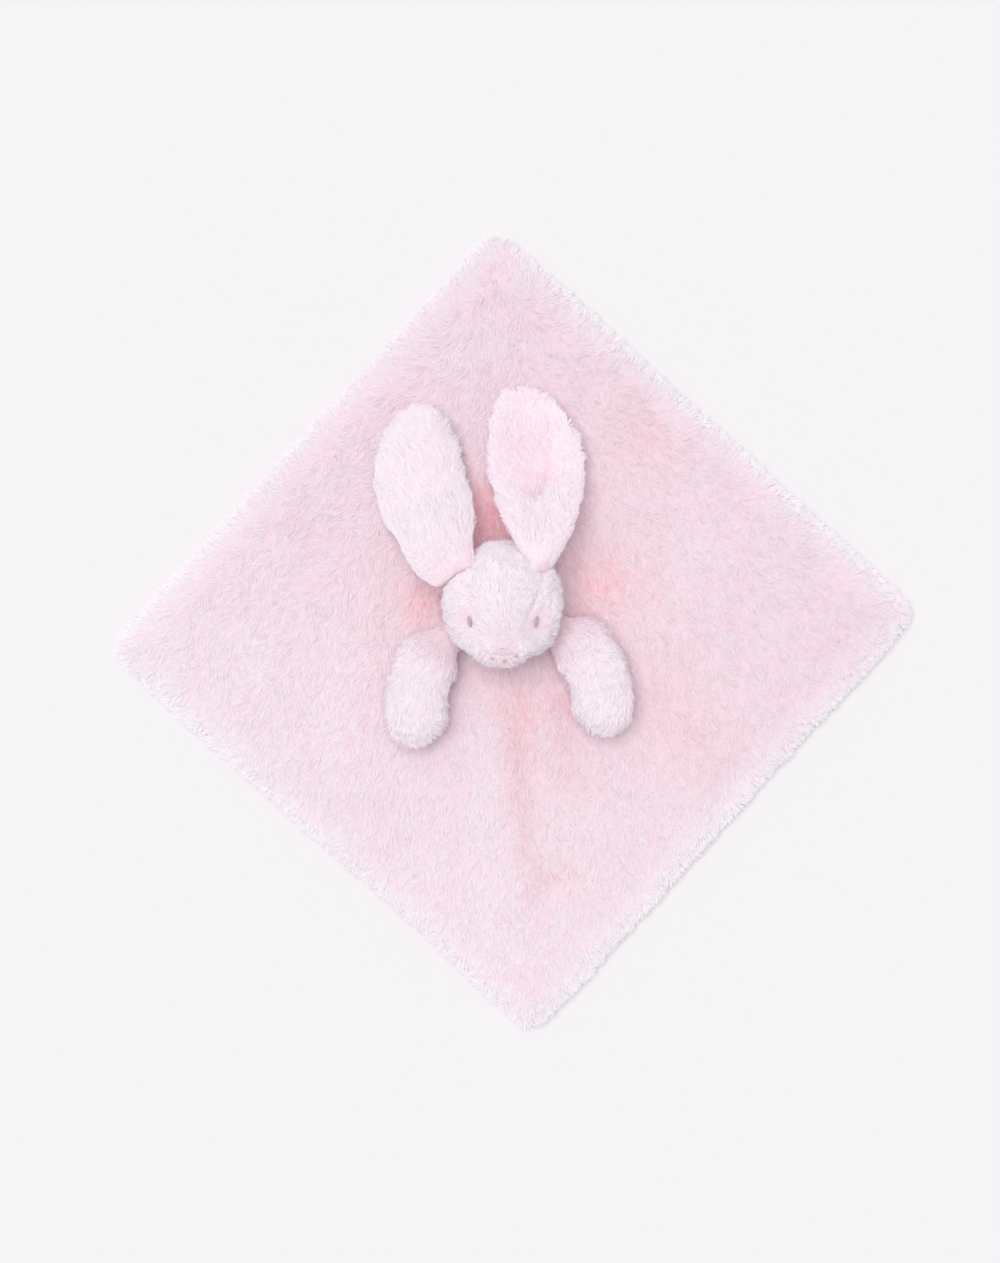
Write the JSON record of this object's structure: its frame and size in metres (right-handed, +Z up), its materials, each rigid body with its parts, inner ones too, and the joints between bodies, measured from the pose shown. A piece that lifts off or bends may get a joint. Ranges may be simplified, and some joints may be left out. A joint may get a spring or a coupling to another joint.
{
  "type": "bunny lovey",
  "caption": "Baby's comforter: a square double-layer plush blanket with a stuffed bunny head, soft lop ears and stuffed arms sewn on at its middle.",
  "frame": {"origin": "middle of the blanket's underside, where it lies on a floor or a mattress", "axes": "+Z up out of the blanket's front, the bunny's crown towards +Y, its face towards -Y and up, its own left towards +X"},
  "size_m": [0.4848, 0.4848, 0.0772],
  "materials": {
    "blanket_plush": "pale pink plush, short curly pile",
    "bunny_plush": "paler pink plush, longer silky pile",
    "polyester_filling": "white fibre filling",
    "pink_thread": "matt sewing thread",
    "grey_thread": "grey embroidery thread, satin stitch",
    "nose_thread": "pale lilac-pink embroidery thread, satin stitch"
  },
  "bodies": {
    "blanket": {"blanket_front_panel": "blanket_plush", "blanket_back_panel": "blanket_plush", "blanket_seam_thread": "pink_thread", "blanket_closing_thread": "pink_thread", "arm_left_tack": "pink_thread", "arm_right_tack": "pink_thread"},
    "neck": {"neck_thread": "pink_thread"},
    "head": {"head_gusset": "bunny_plush", "head_left_panel": "bunny_plush", "head_right_panel": "bunny_plush", "head_filling": "polyester_filling", "neck_gather": "bunny_plush", "eye_left": "grey_thread", "eye_right": "grey_thread", "nose": "nose_thread", "mouth_stitch_left": "grey_thread", "mouth_stitch_centre": "grey_thread", "mouth_stitch_right": "grey_thread"},
    "ear_left": {"ear_left_front_panel": "bunny_plush", "ear_left_back_panel": "bunny_plush", "ear_left_tack": "pink_thread"},
    "ear_right": {"ear_right_back_panel": "bunny_plush", "ear_right_front_panel": "bunny_plush", "ear_right_tack": "pink_thread"},
    "arm_left": {"arm_left_upper_panel": "bunny_plush", "arm_left_lower_panel": "bunny_plush", "arm_left_filling": "polyester_filling"},
    "arm_right": {"arm_right_upper_panel": "bunny_plush", "arm_right_lower_panel": "bunny_plush", "arm_right_filling": "polyester_filling"}
  },
  "joints": [
    {"name": "head_turn", "type": "hinge", "parent": "blanket", "child": "neck", "pos_m": [-0.0059, 0.0005, 0.0193], "axis": [0, 0, 1], "range_deg": [-12, 12]},
    {"name": "head_nod", "type": "hinge", "parent": "neck", "child": "head", "pos_m": [-0.0059, 0.0005, 0.0193], "axis": [1, 0, 0], "range_deg": [0, 35]},
    {"name": "ear_left_lift", "type": "hinge", "parent": "head", "child": "ear_left", "pos_m": [0.0171, 0.04063, 0.05565], "axis": [1, 0, 0], "range_deg": [0, 95]},
    {"name": "ear_right_lift", "type": "hinge", "parent": "head", "child": "ear_right", "pos_m": [-0.0289, 0.04063, 0.05565], "axis": [1, 0, 0], "range_deg": [0, 95]},
    {"name": "arm_left_lift", "type": "hinge", "parent": "blanket", "child": "arm_left", "pos_m": [0.02499, -0.00021, 0.02042], "axis": [-0.9272, -0.3746, 0], "range_deg": [0, 35]},
    {"name": "arm_right_lift", "type": "hinge", "parent": "blanket", "child": "arm_right", "pos_m": [-0.0375, -0.00411, 0.02042], "axis": [-0.9744, 0.225, 0], "range_deg": [0, 35]}
  ]
}
